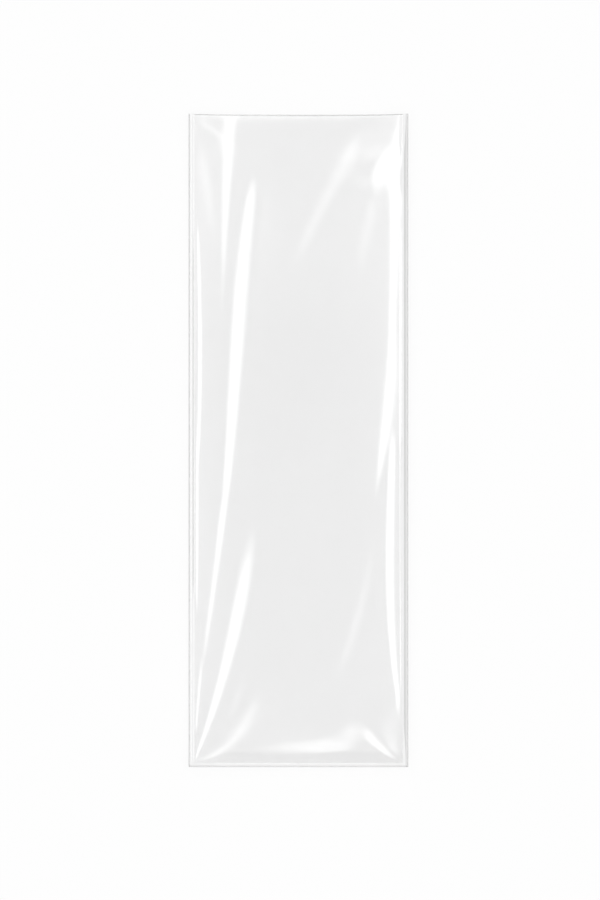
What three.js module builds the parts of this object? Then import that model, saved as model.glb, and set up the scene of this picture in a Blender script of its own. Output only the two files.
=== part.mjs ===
// A long clear film bag, empty and lying down with its front up. Two sheets of film are sealed
// to each other along both sides and across the bottom. The top is open: the lips of the mouth
// stand a few millimetres apart, and the bag is slightly puffed with air.
// Millimetres, +Z up, the mouth towards +Y, the origin on the ground under the middle.

import * as THREE from "three";

// Driving dimensions
const WIDTH = 100; // between the outer edges of the side seals
const LENGTH = 298; // from the bottom edge to the corners of the mouth
const WALL = 0.5; // thickness of each sheet
const SIDE_SEAL = 2.5; // width of the band where the sheets are joined at each side
const END_SEAL = 1.8; // the same across the bottom
const SEAL_HEIGHT = 2.9; // of the seals' mid-plane above the ground
const LIP_DIP = 0.6; // how far the middle of the mouth lies below its corners in plan

// The puff of each sheet, measured from the seals' mid-plane
const FRONT_CROWN = 2; // gentle rise of the front sheet to the middle of the bag
const BACK_CROWN = 2.85; // the same of the back sheet, cut off where it lies on the ground
const END_REACH = 40; // distance from the bottom seal over which the puff builds up
const MOUTH_REACH = 60; // distance from the mouth over which the front's puff settles down
const MOUTH_CROWN = 0.6; // share of the crown that is left at the mouth
const FLARE = 1; // rise of the front lip at the very edge of the mouth
const FLARE_REACH = 2.4; // distance over which it fades
const FLARE_CLEAR = 6; // distance from a side seal over which it builds up
const SIDE_HOLD = 0.8; // the side seals hold the folds down over this distance
const END_HOLD = 2; // the bottom seal does so over this distance
const CORNER_HOLD = 4; // added to SIDE_HOLD in the bottom right corner
const CORNER_START = 108; // distance below the middle at which that begins
const CORNER_REACH = 20; // distance over which it builds up along the bag
const CORNER_SIDE = 10; // distance right of the middle over which it builds up across the bag
const LEDGE_REACH = 34; // how far behind its edge a ledge has come down
const LEDGE_SHARPNESS = 2.2; // how abruptly a ledge rises at its edge
const SHEETS_APART = 0.15; // least gap between the sheets where the front rests on the back
const TOUCH_BLEND = 0.5; // height over which the front eases onto the back

// The grid of each sheet
const INNER_COLUMNS = 24;
const INNER_ROWS = 38;
const SIDE_STEPS = [0, SIDE_SEAL, SIDE_SEAL + 2.2, SIDE_SEAL + 5.7];
const END_STEPS = [0, END_SEAL, END_SEAL + 2.6, END_SEAL + 6, END_SEAL + 9.8];
const MOUTH_STEP = 3;

// Folds pressed into the front sheet. Each follows its chord, start to finish, and bows to the
// right of it by two distances, one for each third. low is the side where the film lies lower, the
// right (1) or the left (-1) hand of someone who walks the chord. width holds the half width at
// four places along the fold, steep its steepest slope at both ends, and fade the shares of its
// length over which it begins and ends. A ledge stays high behind its edge, and a crease eases
// back on both sides.
const FRONT_FOLDS = [
  // From the left side and the bottom left corner
  crease([-19.9, 127], [-37, -55], [3.7, -4.3], [5.5, 10, 3.2, 2.8], 1, [0.42, 0.38], [0.09, 0.25]),
  ledge([-33.5, -22], [-45.8, -118], [-1.2, -0.4], [2.6, 3.2, 2.8, 2], 1, [0.46, 0.2], [0.2, 0.45]),
  ledge([-43.8, -95], [-47.2, -137], [0, 0], [1.4, 1.2, 1, 0.8], 1, [0.2, 0.34], [0.4, 0.25]),
  crease([-18, -27.3], [-48.2, -147.8], [-2.7, -6.7], [4, 7, 4.2, 0.7], 1, [0.38, 0.4], [0.45, 0]),
  crease([-19.5, -84], [-36.5, -138.5], [-1.9, -3.2], [5, 7, 6, 4], 1, [0.09, 0.09], [0.5, 0.45]),
  crease([-11.5, -100], [-46.7, -147.4], [-4.4, -14.4], [7, 9, 11, 0.6], -1, [0.11, 0.25], [0.5, 0]),
  ledge([-46.4, 104], [-46.2, -14], [-1.7, -1.9], [0.6, 1.6, 1.6, 0.8], 1, [0.5, 0.5], [0.15, 0.15]),
  ledge([-46.2, 12], [-46.8, -87], [-0.2, -0.3], [0.9, 1, 1, 0.8], 1, [0.42, 0.42], [0.2, 0.2]),
  // From the top left corner
  ledge([-30.6, 151.7], [-37.6, 20], [1, -1.4], [6.6, 2, 3.6, 2.3], 1, [0.44, 0.26], [0, 0.7]),
  crease([-48.6, 148.5], [-31.6, 131.5], [0.3, -5], [3.5, 4.5, 4.5, 4.5], 1, [0.12, 0.22], [0.3, 0.4]),
  ledge([-46.6, 147], [-36.6, 72], [0.4, -2.6], [3.2, 7.5, 5.4, 3.4], 1, [0.155, 0.17], [0.35, 0.5]),
  // From the top right corner and down the right side
  ledge([48.1, 150.5], [43.6, 108], [0.7, 3.2], [2.4, 5.5, 8.8, 6], -1, [0.5, 0.42], [0.05, 0.4]),
  crease([42, 137], [34.4, 109], [0.8, 1.8], [2, 4.5, 11.5, 4], -1, [0.34, 0.36], [0.42, 0.45]),
  crease([37.9, 118.8], [24.2, 64], [3, -0.9], [4, 7.6, 7.1, 5.1], -1, [0.15, 0.1], [0.25, 0.6]),
  ledge([44.3, 125], [42.2, 28], [-0.4, 0], [6.4, 3.1, 2.2, 3.4], -1, [0.42, 0.42], [0.162, 0.33]),
  ledge([43.2, 60], [33.5, -36], [-3.7, -2], [1.4, 7, 3.2, 1.8], -1, [0.42, 0.42], [0.33, 0.3]),
  ledge([37.2, -11.6], [13.5, -122], [-2.2, -5.7], [5.5, 4.5, 8, 7.1], -1, [0.18, 0.13], [0.2, 0.5]),
  crease([43.3, 8], [47.3, -131], [2.2, 8], [2, 4.4, 3.8, 0.5], -1, [0.4, 0.42], [0.12, 0.08]),
  ledge([46.95, 100], [47, -130], [0.7, 0.7], [0.6, 0.5, 0.5, 0.5], -1, [0.36, 0.4], [0.06, 0.12]),
  crease([32.2, 150], [-8, 66], [-1.2, 7], [7, 11, 8, 7], 1, [0.155, 0.12], [0.2, 0.5]),
  // Up from the bottom seal
  crease([-46, -145.5], [32, -142.3], [-4.6, -4.4], [3, 5, 8, 5], 1, [0.13, 0.21], [0.25, 0.35]),
  crease([2, -141], [37, -128.5], [0.8, -1.5], [4, 8, 11, 9], 1, [0.06, 0.1], [0.35, 0.45]),
  crease([24, -124], [48.6, -148], [2.4, 2.8], [8, 6.5, 4.2, 2.6], 1, [0.16, 0.6], [0.4, 0]),
];

const HALF_WIDTH = WIDTH / 2;
const HALF_LENGTH = LENGTH / 2;
const BACK_DEPTH = SEAL_HEIGHT - WALL;

// Smooth rise from 0 to 1 as t goes from 0 to 1.
function smooth(t) {
  const s = Math.min(Math.max(t, 0), 1);
  return s * s * (3 - 2 * s);
}

// A fold that stays high behind its edge.
function ledge(start, finish, bow, width, low, steep, fade) {
  return { start, finish, bow, width, low, steep, fade, isLedge: true };
}

// A fold that eases back on both sides.
function crease(start, finish, bow, width, low, steep, fade) {
  return { start, finish, bow, width, low, steep, fade, isLedge: false };
}

// Distances of a point from the inner edges of the side seals, the bottom seal and the mouth.
function clearances(x, y) {
  return {
    side: HALF_WIDTH - SIDE_SEAL - Math.abs(x),
    end: y + HALF_LENGTH - END_SEAL,
    mouth: HALF_LENGTH - y,
  };
}

// The share of the puff at a point: an arch from side to side that builds up off the bottom seal.
function arch(x, { end }) {
  const across = x / (HALF_WIDTH - SIDE_SEAL);
  return (1 - across * across) * Math.sin((Math.PI / 2) * Math.min(end / END_REACH, 1));
}

// A cubic curve's value at a share of its length, from its four control values.
function cubicAt(share, [first, second, third, last]) {
  const rest = 1 - share;
  const middle = 3 * share * rest * (rest * second + share * third);
  return rest ** 3 * first + middle + share ** 3 * last;
}

// Height that a fold adds at a point.
function foldHeight(fold, x, y) {
  const start = new THREE.Vector2(...fold.start);
  const chord = new THREE.Vector2(...fold.finish).sub(start);
  const reach = new THREE.Vector2(x, y).sub(start);
  const along = reach.dot(chord) / chord.lengthSq();
  const share = THREE.MathUtils.clamp(along, 0, 1);
  const across = (reach.x * chord.y - reach.y * chord.x) / chord.length();
  const distance = across - cubicAt(share, [0, ...fold.bow, 0]);
  const width = cubicAt(share, fold.width);
  const steep = THREE.MathUtils.lerp(...fold.steep, share);
  const begun = fold.fade[0] > 0 ? smooth(along / fold.fade[0]) : 1;
  const left = fold.fade[1] > 0 ? smooth((1 - along) / fold.fade[1]) : 1;
  const t = (-fold.low * distance) / width;
  const behind = (Math.max(t, 0) * width) / LEDGE_REACH;
  const edge = (1 + Math.tanh(LEDGE_SHARPNESS * t)) / LEDGE_SHARPNESS;
  const form = fold.isLedge ? edge * Math.exp(-behind * behind) : t / Math.pow(1 + t * t, 1.5);
  return steep * width * begun * left * form;
}

// 0 at a seal and 1 beyond the distance over which it holds the film.
function released(distance, hold) {
  return 1 - Math.exp(-Math.pow(distance / hold, 2));
}

// Depth of the back sheet's inner face below the seals' mid-plane, flat where it lies on the ground.
function backDepth(x, y) {
  return Math.min(BACK_CROWN * arch(x, clearances(x, y)), BACK_DEPTH);
}

// Height of the front sheet's inner face above the same plane. Where the folds would press it
// through the back sheet, it rests on it.
function frontHeight(x, y) {
  const clear = clearances(x, y);
  const settle = MOUTH_CROWN + (1 - MOUTH_CROWN) * smooth(clear.mouth / MOUTH_REACH);
  const crown = FRONT_CROWN * arch(x, clear) * settle;
  const sealed = released(clear.side, SIDE_HOLD) * released(clear.end, END_HOLD);
  const corner = smooth((-CORNER_START - y) / CORNER_REACH) * smooth(x / CORNER_SIDE);
  const sideHold = SIDE_HOLD + CORNER_HOLD * corner;
  const held = released(clear.side, sideHold) * released(clear.end, END_HOLD);
  const relief = FRONT_FOLDS.reduce((sum, fold) => sum + foldHeight(fold, x, y), 0);
  const flare = FLARE * Math.exp(-clear.mouth / FLARE_REACH) * smooth(clear.side / FLARE_CLEAR);
  const free = crown + held * relief + flare;
  const resting = SHEETS_APART * sealed - backDepth(x, y);
  return (free + resting + Math.hypot(free - resting, TOUCH_BLEND * sealed)) / 2;
}

// Numbers from start to end in equal steps.
function evenly(start, end, steps) {
  return Array.from({ length: steps + 1 }, (_, k) => start + ((end - start) * k) / steps);
}

// The grid lines across the bag, close together beside the seals.
function columnPlaces() {
  const left = SIDE_STEPS.map((step) => step - HALF_WIDTH);
  const inner = evenly(left.at(-1), -left.at(-1), INNER_COLUMNS).slice(1, -1);
  const right = left.map((place) => -place).reverse();
  return [...left, ...inner, ...right];
}

// The grid lines along the bag, as distances from the bottom edge, with one close to the mouth.
function rowPlaces() {
  const inner = evenly(END_STEPS.at(-1), LENGTH - MOUTH_STEP, INNER_ROWS).slice(1);
  return [...END_STEPS, ...inner, LENGTH];
}

// The bag as one closed wall. Its outer faces cover the whole grid and meet round the rim, and its
// inner faces cover the grid inside the seals and meet in a line along them. At the mouth the
// inner and outer faces are joined by the lips.
function bagGeometry() {
  const columns = columnPlaces();
  const rows = rowPlaces();
  const lastColumn = columns.length - 1;
  const lastRow = rows.length - 1;
  const vertices = [];
  const faces = [];

  const addVertex = (x, y, z) => vertices.push(x, y, z) / 3 - 1;
  const addTriangle = (a, b, c) => faces.push(a, b, c);
  const addQuad = (a, b, c, d) => {
    addTriangle(a, b, c);
    addTriangle(a, c, d);
  };

  // The mouth's edge dips in the middle, and the rows near it follow.
  const placeOf = (i, j) => {
    const x = columns[i];
    const dip = LIP_DIP * Math.pow(Math.cos((Math.PI * x) / WIDTH), 2);
    const share = smooth((rows[j] - LENGTH + MOUTH_REACH) / MOUTH_REACH);
    return [x, rows[j] - HALF_LENGTH - dip * share];
  };
  const isInside = (i, j) => i > 1 && i < lastColumn - 1 && j > 1;

  const grid = (heightAt) =>
    columns.map((_, i) => rows.map((__, j) => addVertex(...placeOf(i, j), heightAt(i, j))));
  const front = (i, j) => (isInside(i, j) ? frontHeight(...placeOf(i, j)) : 0);
  const back = (i, j) => (isInside(i, j) ? backDepth(...placeOf(i, j)) : 0);

  const outerFront = grid((i, j) => SEAL_HEIGHT + front(i, j) + WALL);
  const outerBack = grid((i, j) => SEAL_HEIGHT - back(i, j) - WALL);
  const innerFront = grid((i, j) => SEAL_HEIGHT + front(i, j));
  const innerBack = innerFront.map((line, i) =>
    line.map((shared, j) =>
      isInside(i, j) ? addVertex(...placeOf(i, j), SEAL_HEIGHT - back(i, j)) : shared,
    ),
  );

  // Faces up for the outer front and the inner back, and down for the other two.
  const addSheet = (sheet, first, last, firstRow, isUp) => {
    for (let i = first; i < last; i += 1) {
      for (let j = firstRow; j < lastRow; j += 1) {
        const ring = [sheet[i][j], sheet[i + 1][j], sheet[i + 1][j + 1], sheet[i][j + 1]];
        addQuad(...(isUp ? ring : [ring[0], ring[3], ring[2], ring[1]]));
      }
    }
  };
  addSheet(outerFront, 0, lastColumn, 0, true);
  addSheet(outerBack, 0, lastColumn, 0, false);
  addSheet(innerFront, 1, lastColumn - 1, 1, false);
  addSheet(innerBack, 1, lastColumn - 1, 1, true);

  // The rim of the seals: the bottom edge and both sides.
  for (let i = 0; i < lastColumn; i += 1) {
    addQuad(outerBack[i][0], outerBack[i + 1][0], outerFront[i + 1][0], outerFront[i][0]);
  }
  for (let j = 0; j < lastRow; j += 1) {
    addQuad(outerBack[0][j + 1], outerBack[0][j], outerFront[0][j], outerFront[0][j + 1]);
    addQuad(
      outerBack[lastColumn][j],
      outerBack[lastColumn][j + 1],
      outerFront[lastColumn][j + 1],
      outerFront[lastColumn][j],
    );
  }

  // The lips of the mouth, and the ends of the two side seals beside them.
  for (let i = 1; i < lastColumn - 1; i += 1) {
    addQuad(
      outerFront[i][lastRow],
      outerFront[i + 1][lastRow],
      innerFront[i + 1][lastRow],
      innerFront[i][lastRow],
    );
    addQuad(
      innerBack[i][lastRow],
      innerBack[i + 1][lastRow],
      outerBack[i + 1][lastRow],
      outerBack[i][lastRow],
    );
  }
  [
    [0, 1],
    [lastColumn, lastColumn - 1],
  ].forEach(([rim, seam]) => {
    const fan = [
      [outerFront[rim][lastRow], outerFront[seam][lastRow], innerFront[seam][lastRow]],
      [outerFront[rim][lastRow], innerFront[seam][lastRow], outerBack[rim][lastRow]],
      [outerBack[rim][lastRow], innerFront[seam][lastRow], outerBack[seam][lastRow]],
    ];
    fan.forEach(([a, b, c]) => (rim < seam ? addTriangle(a, b, c) : addTriangle(a, c, b)));
  });

  const geometry = new THREE.BufferGeometry();
  geometry.setAttribute("position", new THREE.Float32BufferAttribute(vertices, 3));
  geometry.setIndex(faces);
  geometry.computeVertexNormals();
  return geometry;
}

const clearFilm = new THREE.MeshStandardMaterial({
  color: 0xf2f3f4,
  roughness: 0.08,
  metalness: 0,
  transparent: true,
  opacity: 0.3,
});

const bag = new THREE.Mesh(bagGeometry(), clearFilm);
bag.name = "film_bag";

const root = new THREE.Group();
root.add(bag);

export default root;
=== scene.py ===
"""Clear film bag lying on a pale floor: two puffed sheets of film, their welds and their cut edges."""

import math
from collections import namedtuple

import bpy
import numpy as np
from bpy.props import FloatProperty, FloatVectorProperty, PointerProperty
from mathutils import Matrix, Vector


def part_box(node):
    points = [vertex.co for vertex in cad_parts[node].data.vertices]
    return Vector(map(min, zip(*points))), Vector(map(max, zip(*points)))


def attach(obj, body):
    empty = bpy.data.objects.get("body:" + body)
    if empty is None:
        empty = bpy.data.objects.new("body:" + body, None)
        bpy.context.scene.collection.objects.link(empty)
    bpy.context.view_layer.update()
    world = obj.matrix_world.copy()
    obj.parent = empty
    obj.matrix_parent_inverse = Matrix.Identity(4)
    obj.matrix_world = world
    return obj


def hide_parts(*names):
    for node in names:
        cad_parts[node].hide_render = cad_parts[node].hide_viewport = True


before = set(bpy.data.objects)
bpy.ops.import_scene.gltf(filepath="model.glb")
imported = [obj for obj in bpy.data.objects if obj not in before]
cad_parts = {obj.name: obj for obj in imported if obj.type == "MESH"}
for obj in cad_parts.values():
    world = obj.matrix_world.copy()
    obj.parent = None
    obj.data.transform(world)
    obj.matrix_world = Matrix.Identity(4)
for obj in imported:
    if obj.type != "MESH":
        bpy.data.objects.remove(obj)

bl_info = {
    "name": "Clear Film Bag",
    "version": (1, 0, 0),
    "blender": (4, 5, 0),
    "location": "3D View > Sidebar > Film Bag",
    "description": "Builds a long clear film bag with folds, welds and an open mouth",
    "category": "Add Mesh",
}

MM = 0.001
BAG_NODE = "film_bag"
BODY = "root"
CAD_LOW, CAD_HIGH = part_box(BAG_NODE)
CAD_WIDTH = CAD_HIGH[0] - CAD_LOW[0]
CAD_LENGTH = CAD_HIGH[1] - CAD_LOW[1]

# Cells of the sheets' grids and points of the welds' grids, across the bag and along it.
FRONT_CELLS, BACK_CELLS = (164, 292), (120, 160)
SIDE_WELD_POINTS, END_WELD_POINTS = (28, 60), (80, 22)
BORDER_BUNCHING = 0.6
BEAD_STEPS, BEAD_SIDES = 60, 12
LIP_STEPS, LIP_SIDES = 160, 8
LIP_RADIUS, LIP_RISE = 0.12, 0.08
SHARP_DEGREES = 50

EDGE_ROUGHNESS = 0.2
CLOUDS = {"Scale": 45.0, "Detail": 3.0, "Roughness": 0.6}
WAVES = {"Scale": 140.0, "Detail": 2.0, "Roughness": 0.5}

# A ledge's edge is this sharp, and its top falls away over this many mm.
LEDGE_SHARPNESS, LEDGE_REACH = 2.2, 34.0

# A fold of the front sheet, in mm: where its chord starts and ends, the two bows that carry it over to
# the right of the chord, its half width at four places along it, the side that lies lower (1 right, -1
# left), its steepest slope at both ends, and the shares of its length over which it begins and ends. A
# crease rises on one side and sinks on the other. A ledge stays high on its other side.
Fold = namedtuple("Fold", "start finish bows widths low slopes fades ledge")


def crease(*numbers):
    """A fold that eases back to the sheet on both sides."""
    return Fold(*numbers, False)


def ledge(*numbers):
    """A fold that is the edge of a higher part of the sheet."""
    return Fold(*numbers, True)


FOLDS = [
    # Left side and bottom left corner.
    crease((-18.9, 128), (-37, -55), (4.6, -3.2), (3.4, 10.7, 3.2, 2.4), 1, (0.42, 0.38), (0.12, 0.25)),
    ledge((-33.5, -22), (-45.8, -118), (-1.2, -0.4), (2.3, 2.6, 2.4, 1.8), 1, (0.44, 0.19), (0.2, 0.45)),
    ledge((-43.8, -95), (-47.2, -137), (0, 0), (1.4, 1.2, 1, 0.8), 1, (0.2, 0.34), (0.4, 0.25)),
    crease((-17.6, -25.5), (-48.2, -147.8), (-2.7, -6.7), (5.5, 8.6, 4.2, 0.7), 1, (0.38, 0.4), (0.42, 0)),
    crease((-19.5, -84), (-36.5, -138.5), (-1.9, -3.2), (5, 7, 6, 4), 1, (0.09, 0.09), (0.5, 0.45)),
    crease((-11.5, -100), (-46.7, -147.4), (-4.4, -14.4), (7, 9, 11, 0.6), -1, (0.11, 0.25), (0.5, 0)),
    ledge((-46.4, 104), (-46.2, -14), (-1.7, -1.9), (0.6, 1.6, 1.6, 0.8), 1, (0.5, 0.5), (0.15, 0.15)),
    ledge((-46.2, 12), (-46.8, -87), (-0.2, -0.3), (0.9, 1, 1, 0.8), 1, (0.42, 0.42), (0.2, 0.2)),
    # Top left corner.
    ledge((-30.6, 151.7), (-37.6, 20), (1, -1.4), (6.6, 2, 3.6, 2.3), 1, (0.44, 0.26), (0, 0.7)),
    crease((-48.6, 148.5), (-31.6, 131.5), (0.3, -5), (3.5, 4.5, 4.5, 4.5), 1, (0.12, 0.22), (0.3, 0.4)),
    ledge((-46.6, 147), (-36.6, 72), (0.4, -2.6), (3.6, 8.5, 6.4, 4.4), 1, (0.12, 0.1), (0.35, 0.5)),
    # Top right corner and right side.
    ledge((48.1, 150.5), (43.6, 108), (0.7, 3.2), (2.4, 5.5, 8.8, 6), -1, (0.5, 0.42), (0.05, 0.4)),
    crease((42, 137), (34.4, 109), (0.8, 1.8), (2, 4.5, 11.5, 4), -1, (0.34, 0.36), (0.42, 0.45)),
    crease((37.9, 118.8), (22.6, 58), (2.6, -0.9), (4.5, 9, 8.5, 6), -1, (0.12, 0.1), (0.25, 0.6)),
    ledge((44.3, 125), (42.2, 28), (-0.4, 0), (6.4, 3.1, 2.2, 3.4), -1, (0.42, 0.42), (0.162, 0.33)),
    ledge((43.2, 60), (33.5, -36), (-3.7, -2), (1.4, 7, 3.2, 1.8), -1, (0.42, 0.38), (0.33, 0.36)),
    ledge((37.2, -11.6), (9, -126), (-8.5, -9.5), (5, 4.5, 6.5, 6), -1, (0.05, 0.15), (0.45, 0.35)),
    crease((43.3, 8), (48.2, -135), (3.4, 7.4), (2, 4.4, 3.8, 0.6), -1, (0.4, 0.42), (0.12, 0.08)),
    ledge((46.95, 100), (47, -130), (0.7, 0.7), (0.7, 0.6, 0.6, 0.6), -1, (0.4, 0.75), (0.06, 0.12)),
    crease((32.2, 150), (-7.5, 62), (-1.2, 6.2), (7, 11, 9, 8), 1, (0.15, 0.18), (0.2, 0.36)),
    # Along the bottom weld.
    crease((-46, -145.5), (33, -141.7), (-4.2, -4.4), (2.2, 3.6, 7.2, 6.5), 1, (0.06, 0.32), (0.85, 0.25)),
    crease((2, -141), (37, -128.5), (0.8, -1.5), (4, 8, 11, 9), 1, (0.06, 0.1), (0.35, 0.45)),
    crease((24, -124), (48.6, -148), (2.4, 4.6), (8, 6.5, 4.2, 2.6), 1, (0.11, 0.62), (0.45, 0)),
]


class BagSizes(bpy.types.PropertyGroup):
    """Sizes of the bag."""

    width: FloatProperty(
        name="Width", description="Over both side welds", default=CAD_WIDTH, unit="LENGTH"
    )
    length: FloatProperty(
        name="Length",
        description="From the bottom weld to the mouth",
        default=CAD_LENGTH,
        unit="LENGTH",
    )
    side_weld: FloatProperty(
        name="Side Weld", description="Width of a side weld", default=0.0025, unit="LENGTH"
    )
    end_weld: FloatProperty(
        name="End Weld", description="Width of the bottom weld", default=0.0018, unit="LENGTH"
    )
    weld_height: FloatProperty(
        name="Weld Height",
        description="Height of the welds over the ground",
        default=0.0029,
        unit="LENGTH",
    )
    film: FloatProperty(
        name="Film", description="Thickness of one sheet of film", default=0.00005, unit="LENGTH"
    )
    front_crown: FloatProperty(
        name="Front Crown",
        description="Rise of the front sheet in the middle",
        default=0.002,
        unit="LENGTH",
    )
    back_crown: FloatProperty(
        name="Back Crown",
        description="Drop of the back sheet in the middle",
        default=0.00285,
        unit="LENGTH",
    )
    lip_dip: FloatProperty(
        name="Lip Dip",
        description="How far the lips curve in at the middle of the mouth",
        default=0.00066,
        unit="LENGTH",
    )
    bead: FloatProperty(
        name="Cut Bead",
        description="Radius of the bead that the hot cut leaves",
        default=0.00022,
        unit="LENGTH",
    )


class FilmLook(bpy.types.PropertyGroup):
    """Colours and gloss of the film."""

    clear: FloatVectorProperty(
        name="Film",
        description="What the film lets through",
        subtype="COLOR",
        size=3,
        min=0,
        max=1,
        default=(1.0, 1.0, 1.0),
    )
    # Painted shade: a darker tint on the film beside the bottom weld, standing in for the dim reflection
    # there.
    strip_shade_tint: FloatVectorProperty(
        name="Strip Shade",
        description="What the film beside the bottom weld lets through",
        subtype="COLOR",
        size=3,
        min=0,
        max=1,
        default=(0.98, 0.98, 0.98),
    )
    # Painted shade: a grey tint on the dark lines of the welds, standing in for the shade that refraction
    # throws there.
    weld: FloatVectorProperty(
        name="Weld Shade",
        description="What the rolled edge of a weld lets through",
        subtype="COLOR",
        size=3,
        min=0,
        max=1,
        default=(0.8, 0.8, 0.8),
    )
    # Painted shade: the grey of the right and bottom cut beads stands in for the dark rims that refraction
    # gives them.
    edge: FloatVectorProperty(
        name="Cut Edge Shade",
        description="What the right and the bottom cut edge let through",
        subtype="COLOR",
        size=3,
        min=0,
        max=1,
        default=(0.86, 0.86, 0.86),
    )
    # Painted shade: the grey of the left cut bead and the lips stands in for the dark rims that refraction
    # gives them.
    thick_edge_shade: FloatVectorProperty(
        name="Thick Edge Shade",
        description="What the left cut edge and the lips let through",
        subtype="COLOR",
        size=3,
        min=0,
        max=1,
        default=(0.79, 0.79, 0.79),
    )
    mirror: FloatVectorProperty(
        name="Gloss",
        description="Colour of the reflections",
        subtype="COLOR",
        size=3,
        min=0,
        max=1,
        default=(1.0, 1.0, 1.0),
    )
    roughness: FloatProperty(
        name="Roughness",
        description="How blurred the reflections are",
        default=0.06,
        min=0,
        max=1,
        subtype="FACTOR",
    )
    clouding: FloatProperty(
        name="Clouding",
        description="How much the roughness varies from patch to patch",
        default=0.8,
        min=0,
        max=1,
        subtype="FACTOR",
    )
    waviness: FloatProperty(
        name="Waviness",
        description="Height of the film's fine waves",
        default=0.00008,
        unit="LENGTH",
    )
    head_on: FloatProperty(
        name="Head-on Gloss",
        description="Share of light that one face reflects straight back",
        default=0.04,
        min=0,
        max=1,
        subtype="FACTOR",
    )


class StageLook(bpy.types.PropertyGroup):
    """Floor, studio light and camera."""

    backdrop: FloatProperty(
        name="Backdrop", description="Brightness of the floor in the picture", default=0.99, min=0
    )
    glow: FloatProperty(
        name="Floor Glow",
        description="Share of the floor's brightness that comes up through it",
        default=0.75,
        min=0,
        max=1,
        subtype="FACTOR",
    )
    floor_size: FloatProperty(
        name="Floor Size", description="Side of the square floor", default=12.0, unit="LENGTH"
    )
    panel: FloatProperty(
        name="Side Panels",
        description="Brightness of the two long light panels",
        default=2.4,
        min=0,
    )
    end_panel: FloatProperty(
        name="End Panels", description="Brightness of the two end light panels", default=1.8, min=0
    )
    overhead: FloatProperty(
        name="Overhead", description="Brightness straight overhead", default=0.10, min=0
    )
    horizon: FloatProperty(
        name="Walls", description="Brightness of the studio walls", default=0.4, min=0
    )
    camera_height: FloatProperty(
        name="Camera Height",
        description="Camera's height over the floor",
        default=3.0,
        unit="LENGTH",
    )


def smooth(t):
    """3t^2 - 2t^3 on 0 to 1, level outside it."""
    s = np.clip(t, 0, 1)
    return s * s * (3 - 2 * s)


def plateau(value, start, end, ease):
    """0 up to start, 1 from start + ease to end, 0 beyond end + ease, smooth between."""
    return smooth((value - start) / ease) * (1 - smooth((value - end) / ease))


def cubic(share, at):
    """Four values carried along a fold: v^3 a + 3 u v^2 b + 3 u^2 v c + u^3 d, with v = 1 - u."""
    rest = 1 - share
    a, b, c, d = at
    return rest ** 3 * a + 3 * share * rest * (rest * b + share * c) + share ** 3 * d


def fold_height(fold, x, y):
    """A rise from the low side of the fold, with t the distance across it over its half width w. A ledge,
    with k its sharpness, is slope * w * (1 + tanh kt) / k, and falls as a bell far behind its edge. A
    crease eases back on both sides: slope * w * t / (1 + t^2)^1.5. The fold is its chord moved over by
    its bows, and it fades in and out."""
    (x0, y0), (x1, y1) = fold.start, fold.finish
    length = math.hypot(x1 - x0, y1 - y0)
    ux, uy = (x1 - x0) / length, (y1 - y0) / length
    along = ((x - x0) * ux + (y - y0) * uy) / length
    share = np.clip(along, 0, 1)
    across = (x - x0) * uy - (y - y0) * ux - cubic(share, (0, *fold.bows, 0))
    width = cubic(share, fold.widths)
    slope = fold.slopes[0] + (fold.slopes[1] - fold.slopes[0]) * share
    begin, end = fold.fades
    begun = smooth(along / begin) if begin else 1
    left = smooth((1 - along) / end) if end else 1
    t = -fold.low * across / width
    if fold.ledge:
        behind = np.maximum(t, 0) * width / LEDGE_REACH
        form = (1 + np.tanh(LEDGE_SHARPNESS * t)) / LEDGE_SHARPNESS * np.exp(-(behind ** 2))
    else:
        form = t / (1 + t * t) ** 1.5
    return slope * width * begun * left * form


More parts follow.
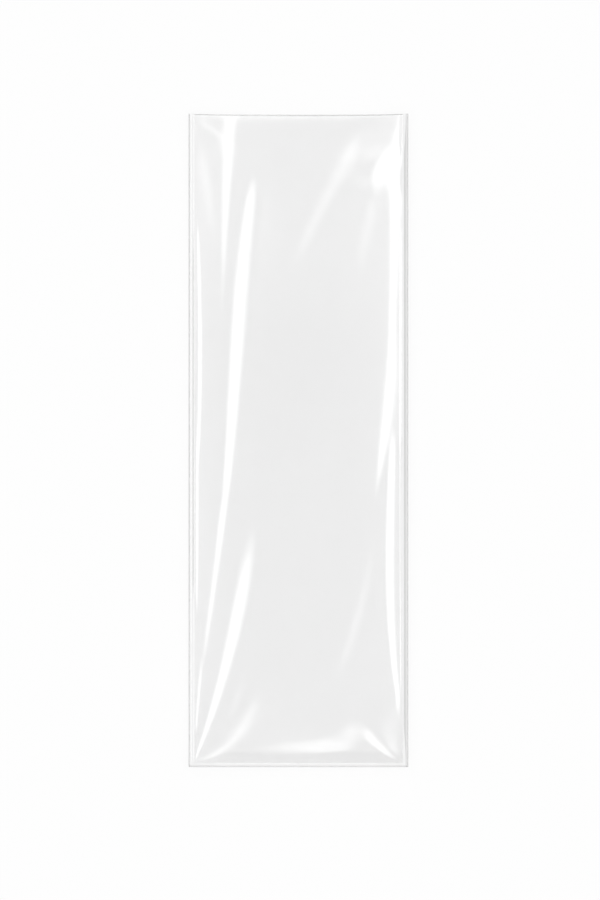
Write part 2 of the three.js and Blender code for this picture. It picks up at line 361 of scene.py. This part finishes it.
class BagShape:
    """Heights of the two sheets over the ground, in mm, as functions of whole arrays of places. The
    constants say how far in from the welds and the mouth the puff and the folds are held back, how the
    front lip flares, how the front rests on the back, and where the rolled ridges of the welds lie."""

    END_REACH = 40.0
    MOUTH_REACH = 60.0
    MOUTH_CROWN = 0.6
    SIDE_HOLD = 0.8
    END_HOLD = 2.0
    CORNER_HOLD = 4.0
    CORNER_START = 112.0
    CORNER_REACH = 18.0
    CORNER_SIDE = 10.0
    FLARE = 1.4
    FLARE_REACH = 3.0
    FLARE_CLEAR = 14.0
    SHEETS_APART = 0.15
    TOUCH_BLEND = 0.4
    TOUCH_REACH = 9.0
    GROUND_FILMS = 2.5
    LEFT_RIDGE, LEFT_EASE, LEFT_RISE = (0.85, 2.0), 0.5, 0.13
    BOTTOM_RIDGE, BOTTOM_EASE, BOTTOM_RISE = (0.3, 1.4), 0.4, 0.11
    BOTTOM_HALF, BOTTOM_FADE = 34.0, 8.0

    def __init__(self, sizes):
        self.width = sizes.width / MM
        self.length = sizes.length / MM
        self.side_weld = sizes.side_weld / MM
        self.end_weld = sizes.end_weld / MM
        self.weld_height = sizes.weld_height / MM
        self.film = sizes.film / MM
        self.front_crown = sizes.front_crown / MM
        self.back_crown = sizes.back_crown / MM
        self.lip_dip = sizes.lip_dip / MM
        self.inner_half = self.width / 2 - self.side_weld
        self.inner_end = self.end_weld - self.length / 2

    def lip(self, x):
        """The mouth's edge: half the length less dip * (1 - (2x / width)^4)."""
        return self.length / 2 - self.lip_dip * (1 - (2 * x / self.width) ** 4)

    def clearances(self, x, y):
        """Distances in from the side weld, the bottom weld and the mouth."""
        side = np.maximum(self.inner_half - np.abs(x), 0)
        end = np.maximum(y - self.inner_end, 0)
        mouth = np.maximum(self.length / 2 - y, 0)
        return side, end, mouth

    def arch(self, x, end):
        """1 - (x / half width)^2 across, a quarter sine over the reach off the bottom weld."""
        across = 1 - (x / self.inner_half) ** 2
        return across * np.sin(math.pi / 2 * np.clip(end / self.END_REACH, 0, 1))

    def back_depth(self, x, y):
        """How far the back sheet hangs below the welds: an arch, cut off where the sheet's lower face
        is one thickness of film over the ground."""
        _, end, _ = self.clearances(x, y)
        lowest = self.weld_height - self.GROUND_FILMS * self.film
        return np.minimum(self.back_crown * self.arch(x, end), lowest)

    def front(self, x, y):
        """Weld height, plus the arch of the puff, the folds held level at the welds and a flare at the
        lip. Where that would sink through the back sheet, the sheet rests on it:
        (a + b + sqrt((a - b)^2 + blend^2)) / 2."""
        side, end, mouth = self.clearances(x, y)
        settle = self.MOUTH_CROWN + (1 - self.MOUTH_CROWN) * smooth(mouth / self.MOUTH_REACH)
        crown = self.front_crown * self.arch(x, end) * settle
        corner = smooth((-self.CORNER_START - y) / self.CORNER_REACH) * smooth(x / self.CORNER_SIDE)
        side_hold = self.SIDE_HOLD + self.CORNER_HOLD * corner
        held = (1 - np.exp(-((side / side_hold) ** 2))) * (1 - np.exp(-((end / self.END_HOLD) ** 2)))
        flare = self.FLARE * np.exp(-mouth / self.FLARE_REACH) * smooth(side / self.FLARE_CLEAR)
        free = crown + flare + held * sum(fold_height(fold, x, y) for fold in FOLDS)
        away = smooth(side / self.TOUCH_REACH) * smooth(end / self.TOUCH_REACH)
        resting = self.SHEETS_APART * away - self.back_depth(x, y)
        blend = self.TOUCH_BLEND * away
        rise = (free + resting + np.sqrt((free - resting) ** 2 + blend ** 2)) / 2
        return self.weld_height + self.film / 2 + rise

    def ridge(self, x, y):
        """The rolled ridge along the left and the bottom weld: a smooth step up a little way in from the
        cut, and one down to the sheets. The bottom one ends short of both corners."""
        side = self.width / 2 - np.abs(x)
        end = y + self.length / 2
        left = self.LEFT_RISE * plateau(side, *self.LEFT_RIDGE, self.LEFT_EASE)
        bottom = self.BOTTOM_RISE * plateau(end, *self.BOTTOM_RIDGE, self.BOTTOM_EASE)
        bottom = bottom * (1 - smooth((np.abs(x) - self.BOTTOM_HALF) / self.BOTTOM_FADE))
        return np.where(end < self.end_weld, bottom, np.where(x < 0, left, 0))

    def back(self, x, y):
        """Weld height less the depth of the back, to the sheet's upper face."""
        return self.weld_height - self.film / 2 - self.back_depth(x, y)


def spread(count, bunching):
    """count + 1 places from -1 to 1: even steps, with a share of a sine that crowds them at both ends."""
    t = np.linspace(-1, 1, count + 1)
    return (1 - bunching) * t + bunching * np.sin(math.pi / 2 * t)


def sheet_places(shape, columns, rows):
    """Grid from weld to weld and from the bottom weld to the lip, closer at all four borders."""
    u, v = np.meshgrid(spread(columns, BORDER_BUNCHING), (spread(rows, BORDER_BUNCHING) + 1) / 2)
    x = shape.inner_half * u
    y = shape.inner_end + v * (shape.lip(x) - shape.inner_end)
    return x, y


def grid_triangles(rows, columns, first=0, flip=False):
    """Two triangles for each cell of a grid of points, all cut along the same diagonal."""
    index = first + np.arange(rows * columns).reshape(rows, columns)
    a, b = index[:-1, :-1].ravel(), index[:-1, 1:].ravel()
    c, d = index[1:, 1:].ravel(), index[1:, :-1].ravel()
    faces = np.concatenate([np.stack([a, b, c], 1), np.stack([a, c, d], 1)])
    return faces[:, ::-1] if flip else faces


def rim_triangles(rows, columns, lower):
    """The band between the borders of two grids, the second starting at point number lower."""
    index = np.arange(rows * columns).reshape(rows, columns)
    ring = np.concatenate([index[0, :-1], index[:-1, -1], index[-1, :0:-1], index[:0:-1, 0]])
    after = np.roll(ring, -1)
    return np.concatenate([
        np.stack([ring, ring + lower, after + lower], 1),
        np.stack([ring, after + lower, after], 1),
    ])


def shell(name, x, y, upper, lower):
    """Closed shell between two heights on one grid of places, in mm."""
    rows, columns = x.shape
    top = np.stack([x, y, upper], -1).reshape(-1, 3)
    bottom = np.stack([x, y, lower], -1).reshape(-1, 3)
    points = np.concatenate([top, bottom])
    count = rows * columns
    faces = np.concatenate([
        grid_triangles(rows, columns),
        grid_triangles(rows, columns, count, True),
        rim_triangles(rows, columns, count),
    ])
    return new_piece(name, points, faces)


def tube(name, path, radius, sides):
    """Round bead along an open path with flat ends: circle points r(cos a, sin a) across its direction."""
    along = np.gradient(path, axis=0)
    along /= np.linalg.norm(along, axis=1, keepdims=True)
    over = np.tile([0.0, 0.0, 1.0], (len(path), 1))
    across = np.cross(along, over)
    across /= np.linalg.norm(across, axis=1, keepdims=True)
    angle = np.linspace(0, 2 * math.pi, sides, endpoint=False)
    cosine, sine = np.cos(angle)[None, :, None], np.sin(angle)[None, :, None]
    ring = cosine * across[:, None] + sine * over[:, None]
    points = (path[:, None] + radius * ring).reshape(-1, 3)
    rows = len(path)
    index = np.arange(rows * sides).reshape(rows, sides)
    wrapped = np.concatenate([index, index[:, :1]], 1)
    a, b = wrapped[:-1, :-1].ravel(), wrapped[:-1, 1:].ravel()
    c, d = wrapped[1:, 1:].ravel(), wrapped[1:, :-1].ravel()
    faces = [np.stack([a, b, c], 1), np.stack([a, c, d], 1)]
    start, finish = len(points), len(points) + 1
    points = np.concatenate([points, path[:1], path[-1:]])
    faces.append(np.stack([wrapped[0, 1:], wrapped[0, :-1], np.full(sides, start)], 1))
    faces.append(np.stack([wrapped[-1, :-1], wrapped[-1, 1:], np.full(sides, finish)], 1))
    return new_piece(name, points, np.concatenate(faces))


def new_piece(name, points, faces):
    """Smooth-shaded mesh object from points in mm and triangles, with sharp edges where it turns most."""
    mesh = bpy.data.meshes.new(name)
    mesh.vertices.add(len(points))
    mesh.vertices.foreach_set("co", (points * MM).astype(np.float32).ravel())
    mesh.loops.add(len(faces) * 3)
    mesh.loops.foreach_set("vertex_index", faces.astype(np.int32).ravel())
    mesh.polygons.add(len(faces))
    mesh.polygons.foreach_set("loop_start", np.arange(0, len(faces) * 3, 3, dtype=np.int32))
    mesh.polygons.foreach_set("use_smooth", np.ones(len(faces), bool))
    mesh.update(calc_edges=True)
    if mesh.validate():
        raise RuntimeError(f"{name} has faces that Blender had to mend")
    mesh.set_sharp_from_angle(angle=math.radians(SHARP_DEGREES))
    piece = bpy.data.objects.new(name, mesh)
    bpy.context.scene.collection.objects.link(piece)
    return piece


def hand_over(piece, material, replaces=None):
    """Gives the piece its material and body, and hides the CAD node that it stands in for, if any."""
    piece.data.materials.append(material)
    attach(piece, BODY)
    if replaces:
        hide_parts(replaces)


class Value:
    """One output socket of a graph. + - * / ** and abs add the Math node that works them out."""

    def __init__(self, graph, socket):
        self.graph, self.socket = graph, socket

    def maths(self, operation, first, second):
        return self.graph.add("ShaderNodeMath", {"operation": operation}, {0: first, 1: second})

    def __add__(self, other):
        return self.maths("ADD", self, other)

    def __radd__(self, other):
        return self.maths("ADD", other, self)

    def __sub__(self, other):
        return self.maths("SUBTRACT", self, other)

    def __rsub__(self, other):
        return self.maths("SUBTRACT", other, self)

    def __mul__(self, other):
        return self.maths("MULTIPLY", self, other)

    def __rmul__(self, other):
        return self.maths("MULTIPLY", other, self)

    def __truediv__(self, other):
        return self.maths("DIVIDE", self, other)

    def __rtruediv__(self, other):
        return self.maths("DIVIDE", other, self)

    def __pow__(self, other):
        return self.maths("POWER", self, other)

    def __abs__(self):
        return self.maths("ABSOLUTE", self, 0.0)

    def ramp(self, start, end):
        """0 at start, 1 at end, smooth between them; start may be the larger."""
        if start > end:
            return 1 - self.ramp(end, start)
        settings = {"interpolation_type": "SMOOTHSTEP"}
        sockets = {0: self, 1: start, 2: end, 3: 0.0, 4: 1.0}
        return self.graph.add("ShaderNodeMapRange", settings, sockets)


class Graph:
    """A node tree, and the one method that adds nodes to it."""

    def __init__(self, tree):
        self.tree = tree
        tree.nodes.clear()

    def add(self, kind, settings=None, sockets=None, output=0):
        """A new node of that type, with settings set first, then its sockets linked or given values."""
        node = self.tree.nodes.new(kind)
        for key, value in (settings or {}).items():
            setattr(node, key, value)
        for key, value in (sockets or {}).items():
            if isinstance(value, Value):
                self.tree.links.new(value.socket, node.inputs[key])
            else:
                node.inputs[key].default_value = value
        return Value(self, node.outputs[output]) if len(node.outputs) else None


def clear_gloss(name, look, tints, roughness, gloss_share=None):
    """Lets light through unbent and mirrors the share F + (1 - F) * facing^5 of it on each face, with F
    the share head on. tints are colours that it lets through, each but the first with the function that
    says how much of it there is at a place. The gloss is uneven: cloudy patches are duller, and the
    surface is very slightly wavy."""
    material = bpy.data.materials.new(name)
    material.use_nodes = True
    graph = Graph(material.node_tree)
    place = graph.add("ShaderNodeTexCoord", None, None, "Object")
    x, y = (graph.add("ShaderNodeSeparateXYZ", None, {0: place}, axis) / MM for axis in range(2))
    facing = graph.add("ShaderNodeLayerWeight", None, {"Blend": 0.5}, "Facing")
    share = look.head_on + (1 - look.head_on) * facing ** 5
    if gloss_share:
        share = share * gloss_share(x, y)
    clear, *others = tints
    through = graph.add("ShaderNodeBsdfTransparent", None, {"Color": (*clear, 1)})
    # Each tint after the first is painted shade, mixed in where its mask says.
    for tint, amount in others:
        shaded_through = graph.add("ShaderNodeBsdfTransparent", None, {"Color": (*tint, 1)})
        through = graph.add("ShaderNodeMixShader", None, {0: amount(x, y), 1: through, 2: shaded_through})
    clouds = graph.add("ShaderNodeTexNoise", None, {"Vector": place, **CLOUDS})
    waves = graph.add("ShaderNodeTexNoise", None, {"Vector": place, **WAVES})
    bumps = {"Strength": 1.0, "Distance": look.waviness, "Height": waves}
    uneven = graph.add("ShaderNodeBump", None, bumps)
    dulled = roughness * (1 - look.clouding / 2 + look.clouding * clouds)
    settings = {"Color": (*look.mirror, 1), "Roughness": dulled, "Normal": uneven}
    gloss = graph.add("ShaderNodeBsdfGlossy", None, settings)
    both = graph.add("ShaderNodeMixShader", None, {0: share, 1: through, 2: gloss})
    graph.add("ShaderNodeOutputMaterial", None, {"Surface": both})
    return material


# Where the film has less gloss, and where painted shade darkens the film and the welds, in mm from the
# bag's middle, each band from where it starts to where it is full, and how much painted shade it puts on
# the weld.
MOUTH_DULLING, MOUTH_BAND = 0.16, (35, 95)
SHADE_STRIP_BAND, SHADE_STRIP_LEFT_BAND = (-141, -143.5), (-40, -25)
RIGHT_SHARE, RIGHT_INNER, RIGHT_NARROWING = 0.6, 48.1, 0.8
RIGHT_SOFT, RIGHT_OUTER_BAND = 0.15, (49.75, 49.55)
RIGHT_LOW_BAND, RIGHT_HIGH_BAND = (-147, -128), (147, 128)
RIGHT_LIGHTER, RIGHT_LINE, RIGHT_LINE_HALF = 0.6, 49.2, 0.3
LEFT_SHARE, LEFT_LINE, LEFT_LINE_HALF = 0.9, -48.05, 0.35
LEFT_LOW_BAND, LEFT_HIGH_BAND = (-75, -60), (100, 75)
BOTTOM_SHARE, BOTTOM_LINE, BOTTOM_LINE_HALF = 0.3, -148.4, 0.4


def near_mouth(x, y):
    """Less gloss in the upper part of the bag, up to the mouth."""
    return 1 - MOUTH_DULLING * y.ramp(*MOUTH_BAND)


def strip_shade_mask(x, y):
    """The strip along the bottom weld that gets painted shade, up to the folds in the left corner."""
    return y.ramp(*SHADE_STRIP_BAND) * x.ramp(*SHADE_STRIP_LEFT_BAND)


def line_at(value, middle, half):
    """1 at the middle, 0 further off it than half, smooth between."""
    return value.ramp(middle - half, middle) * value.ramp(middle + half, middle)


def right_weld_shade(x, y):
    """Painted shade along the right weld: a dark band with a lighter line in it, narrower at both ends."""
    away_from_ends = y.ramp(*RIGHT_LOW_BAND) * y.ramp(*RIGHT_HIGH_BAND)
    inner = RIGHT_INNER + RIGHT_NARROWING * (1 - away_from_ends)
    band = RIGHT_SHARE * (x - inner).ramp(-RIGHT_SOFT, RIGHT_SOFT) * x.ramp(*RIGHT_OUTER_BAND)
    return band * (1 - RIGHT_LIGHTER * line_at(x, RIGHT_LINE, RIGHT_LINE_HALF))


def left_weld_shade(x, y):
    """A thin line of painted shade inside the left weld, along its middle half."""
    line = LEFT_SHARE * line_at(x, LEFT_LINE, LEFT_LINE_HALF)
    return line * y.ramp(*LEFT_LOW_BAND) * y.ramp(*LEFT_HIGH_BAND)


def bottom_weld_shade(x, y):
    """A thin line of painted shade along the bottom weld."""
    return BOTTOM_SHARE * line_at(y, BOTTOM_LINE, BOTTOM_LINE_HALF)


class FILMBAG_OT_front_sheet(bpy.types.Operator):
    """Make the front sheet, puffed and folded, from weld to weld and up to the mouth"""

    bl_idname = "filmbag.front_sheet"
    bl_label = "Front Sheet"

    def execute(self, context):
        shape = BagShape(context.scene.bag_sizes)
        x, y = sheet_places(shape, *FRONT_CELLS)
        upper = shape.front(x, y)
        piece = shell("front_sheet", x, y, upper, upper - shape.film)
        look = context.scene.film_look
        # The second tint is painted shade on the strip along the bottom weld.
        tints = (look.clear, (look.strip_shade_tint, strip_shade_mask))
        material = clear_gloss("film_front", look, tints, look.roughness, near_mouth)
        hand_over(piece, material, BAG_NODE)
        return {"FINISHED"}


class FILMBAG_OT_back_sheet(bpy.types.Operator):
    """Make the back sheet, which lies flat on the ground in the middle"""

    bl_idname = "filmbag.back_sheet"
    bl_label = "Back Sheet"

    def execute(self, context):
        shape = BagShape(context.scene.bag_sizes)
        x, y = sheet_places(shape, *BACK_CELLS)
        upper = shape.back(x, y)
        piece = shell("back_sheet", x, y, upper, upper - shape.film)
        look = context.scene.film_look
        material = clear_gloss("film_back", look, (look.clear,), look.roughness, near_mouth)
        hand_over(piece, material)
        return {"FINISHED"}


class FILMBAG_OT_welds(bpy.types.Operator):
    """Make the welded bands down both sides and across the bottom"""

    bl_idname = "filmbag.welds"
    bl_label = "Welds"

    def execute(self, context):
        shape = BagShape(context.scene.bag_sizes)
        look = context.scene.film_look
        # The welds' dark bands and lines are painted shade.
        weld_shade_masks = ((look.weld, edge) for edge in (right_weld_shade, left_weld_shade, bottom_weld_shade))
        material = clear_gloss("weld", look, (look.clear, *weld_shade_masks), look.roughness)
        low, high = -shape.length / 2, shape.length / 2
        bands = {
            "left_weld": (-shape.width / 2, -shape.inner_half, low, high, SIDE_WELD_POINTS),
            "right_weld": (shape.inner_half, shape.width / 2, low, high, SIDE_WELD_POINTS),
            "bottom_weld": (-shape.inner_half, shape.inner_half, low, shape.inner_end, END_WELD_POINTS),
        }
        for name, (x0, x1, y0, y1, (across, along)) in bands.items():
            x, y = np.meshgrid(np.linspace(x0, x1, across), np.linspace(y0, y1, along))
            upper = shape.weld_height + shape.film + shape.ridge(x, y)
            lower = np.full(x.shape, shape.weld_height - shape.film)
            hand_over(shell(name, x, y, upper, lower), material)
        return {"FINISHED"}


class FILMBAG_OT_cut_beads(bpy.types.Operator):
    """Make the thin beads where a hot wire cut the film"""

    bl_idname = "filmbag.cut_beads"
    bl_label = "Cut Beads"

    def execute(self, context):
        shape = BagShape(context.scene.bag_sizes)
        look = context.scene.film_look
        # Both bead materials let through grey: painted shade for the dark rims of the cut edges and lips.
        thin = clear_gloss("cut_edge_shade", look, (look.edge,), EDGE_ROUGHNESS)
        thick = clear_gloss("thick_edge_shade", look, (look.thick_edge_shade,), EDGE_ROUGHNESS)
        radius = context.scene.bag_sizes.bead / MM
        half = shape.width / 2 - radius / 2
        low, high = radius / 2 - shape.length / 2, shape.length / 2
        z = shape.weld_height
        ends = {
            "left_bead": ((-half, high, z), (-half, low, z)),
            "right_bead": ((half, low, z), (half, high, z)),
            "bottom_bead": ((-half, low, z), (half, low, z)),
        }
        for name, (start, end) in ends.items():
            t = np.linspace(0, 1, BEAD_STEPS)[:, None]
            path = (1 - t) * np.array(start) + t * np.array(end)
            bead = tube(name, path, radius, BEAD_SIDES)
            hand_over(bead, thick if name == "left_bead" else thin)
        x = np.linspace(-shape.inner_half, shape.inner_half, LIP_STEPS)
        y = shape.lip(x)
        for name, surface in (("front_lip", shape.front), ("back_lip", shape.back)):
            path = np.stack([x, y - radius, surface(x, y) + LIP_RISE], 1)
            hand_over(tube(name, path, LIP_RADIUS, LIP_SIDES), thick)
        return {"FINISHED"}


# Places on the flattened sky, where the zenith is 0 and the horizon 1, and the sky's grid for the floor.
PANEL_CENTRE, PANEL_HALF, PANEL_LENGTH, PANEL_SOFT = 0.45, 0.12, 0.35, 0.29
PANEL_REACH, PANEL_FALL = 0.56, 0.66
WALL_START, WALL_END = 0.45, 0.85
SKY_STEPS = 600
LOWEST_RISE = 0.02

# The picture's size and the bag's middle in it in pixels, and how many mm a pixel shows.
PICTURE_WIDTH, PICTURE_HEIGHT = 600, 900
BAG_PIXEL_X, BAG_PIXEL_Y = 298.5, 440.25
PIXEL = 0.4566
SENSOR = 36.0


def studio_brightness(stage, x, y, ramp, distance):
    """Brightness of the studio towards a direction, from its place x, y on the flattened sky and its
    distance from the zenith there: four soft panels round a dim zenith, none of them low down, and walls
    that brighten towards the horizon."""

    def panel(cx, cy, half_x, half_y):
        inside_x = ramp(abs(x - cx), half_x + PANEL_SOFT, half_x)
        inside_y = ramp(abs(y - cy), half_y + PANEL_SOFT, half_y)
        return inside_x * inside_y

    long, short = (PANEL_HALF, PANEL_LENGTH), (PANEL_HALF, PANEL_HALF)
    sides = panel(-PANEL_CENTRE, 0, *long) + panel(PANEL_CENTRE, 0, *long)
    ends = panel(0, PANEL_CENTRE, *short) + panel(0, -PANEL_CENTRE, *short)
    high = ramp(distance, PANEL_FALL, PANEL_REACH)
    walls = ramp(distance, WALL_START, WALL_END)
    panels = stage.panel * sides + stage.end_panel * ends
    return stage.overhead + high * panels + stage.horizon * walls


def array_ramp(value, start, end):
    """0 at start, 1 at end, smooth between them; start may be the larger."""
    return smooth((value - start) / (end - start))


def floor_light(stage):
    """Light on the floor over pi: the sky's brightness times 4 (1 - r^2) / (1 + r^2)^3, summed over the
    unit disc."""
    t = (np.arange(SKY_STEPS) + 0.5) / (SKY_STEPS / 2) - 1
    x, y = np.meshgrid(t, t)
    r2 = x * x + y * y
    weight = np.where(r2 < 1, 4 * (1 - r2) / (1 + r2) ** 3, 0)
    sky = studio_brightness(stage, x, y, array_ramp, np.sqrt(r2))
    return float((sky * weight).sum() * (t[1] - t[0]) ** 2 / math.pi)


class FILMBAG_OT_stage(bpy.types.Operator):
    """Set the pale floor, the studio light and the camera that looks straight down"""

    bl_idname = "filmbag.stage"
    bl_label = "Stage"

    def execute(self, context):
        stage = context.scene.stage_look
        self.floor(stage)
        self.light(context, stage)
        self.camera(context, stage)
        return {"FINISHED"}

    def floor(self, stage):
        """A pale square. One share of its brightness comes up through it, and a matt coat that is just
        pale enough for the light of the studio gives the rest."""
        half = stage.floor_size / 2
        mesh = bpy.data.meshes.new("floor")
        corners = [(-half, -half, 0), (half, -half, 0), (half, half, 0), (-half, half, 0)]
        mesh.from_pydata(corners, [], [(0, 1, 2, 3)])
        material = bpy.data.materials.new("floor")
        material.use_nodes = True
        graph = Graph(material.node_tree)
        pale = (1 - stage.glow) * stage.backdrop / floor_light(stage)
        matt = graph.add("ShaderNodeBsdfDiffuse", None, {"Color": (pale, pale, pale, 1)})
        lit = graph.add("ShaderNodeEmission", None, {"Strength": stage.glow * stage.backdrop})
        both = graph.add("ShaderNodeAddShader", None, {0: matt, 1: lit})
        graph.add("ShaderNodeOutputMaterial", None, {"Surface": both})
        mesh.materials.append(material)
        floor = bpy.data.objects.new("floor", mesh)
        bpy.context.scene.collection.objects.link(floor)

    def light(self, context, stage):
        """The studio as a world. A direction's place on the flattened sky is (x, y) / (1 + z)."""
        world = bpy.data.worlds.new("studio")
        context.scene.world = world
        world.use_nodes = True
        graph = Graph(world.node_tree)
        direction = graph.add("ShaderNodeTexCoord", None, None, "Generated")
        x, y, z = (graph.add("ShaderNodeSeparateXYZ", None, {0: direction}, axis) for axis in range(3))
        rise = graph.add("ShaderNodeMath", {"operation": "MAXIMUM"}, {0: z + 1, 1: LOWEST_RISE})
        flat_x, flat_y = x / rise, y / rise
        square = flat_x * flat_x + flat_y * flat_y
        distance = graph.add("ShaderNodeMath", {"operation": "SQRT"}, {0: square})
        strength = studio_brightness(stage, flat_x, flat_y, Value.ramp, distance)
        light = graph.add("ShaderNodeBackground", None, {"Color": (1, 1, 1, 1), "Strength": strength})
        graph.add("ShaderNodeOutputWorld", None, {"Surface": light})

    def camera(self, context, stage):
        """Straight down. The lens is the sensor times the camera's height over the picture's height on the
        floor, and the camera stands off the bag's middle as the picture's middle does."""
        per_pixel = PIXEL * MM
        data = bpy.data.cameras.new("camera")
        data.sensor_width = SENSOR
        data.lens = data.sensor_width * stage.camera_height / (PICTURE_HEIGHT * per_pixel)
        camera = bpy.data.objects.new("camera", data)
        aside = (PICTURE_WIDTH / 2 - BAG_PIXEL_X) * per_pixel
        along = (BAG_PIXEL_Y - PICTURE_HEIGHT / 2) * per_pixel
        camera.location = (aside, along, stage.camera_height)
        context.scene.collection.objects.link(camera)
        context.scene.camera = camera
        context.scene.view_settings.view_transform = "Standard"
        cycles = context.scene.cycles
        cycles.transparent_max_bounces = 32
        cycles.max_bounces = 6
        cycles.diffuse_bounces = 2
        cycles.glossy_bounces = 3


class FILMBAG_PT_panel(bpy.types.Panel):
    """Buttons for each part of the bag"""

    bl_label = "Film Bag"
    bl_idname = "FILMBAG_PT_panel"
    bl_space_type = "VIEW_3D"
    bl_region_type = "UI"
    bl_category = "Film Bag"

    def draw(self, context):
        for group in (context.scene.bag_sizes, context.scene.film_look, context.scene.stage_look):
            for key in group.__annotations__:
                self.layout.prop(group, key)
        for operator in OPERATORS:
            self.layout.operator(operator.bl_idname)


OPERATORS = (
    FILMBAG_OT_front_sheet,
    FILMBAG_OT_back_sheet,
    FILMBAG_OT_welds,
    FILMBAG_OT_cut_beads,
    FILMBAG_OT_stage,
)
GROUPS = {"bag_sizes": BagSizes, "film_look": FilmLook, "stage_look": StageLook}
CLASSES = (*GROUPS.values(), *OPERATORS, FILMBAG_PT_panel)


def register():
    """Register the classes and give the scene their properties."""
    for cls in CLASSES:
        bpy.utils.register_class(cls)
    for name, cls in GROUPS.items():
        setattr(bpy.types.Scene, name, PointerProperty(type=cls))


def unregister():
    """Take back what register did."""
    for name in GROUPS:
        delattr(bpy.types.Scene, name)
    for cls in reversed(CLASSES):
        bpy.utils.unregister_class(cls)


def main():
    """Make every piece and the stage."""
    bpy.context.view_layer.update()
    register()
    bpy.ops.filmbag.front_sheet()
    bpy.ops.filmbag.back_sheet()
    bpy.ops.filmbag.welds()
    bpy.ops.filmbag.cut_beads()
    bpy.ops.filmbag.stage()


if __name__ == "__main__":
    main()
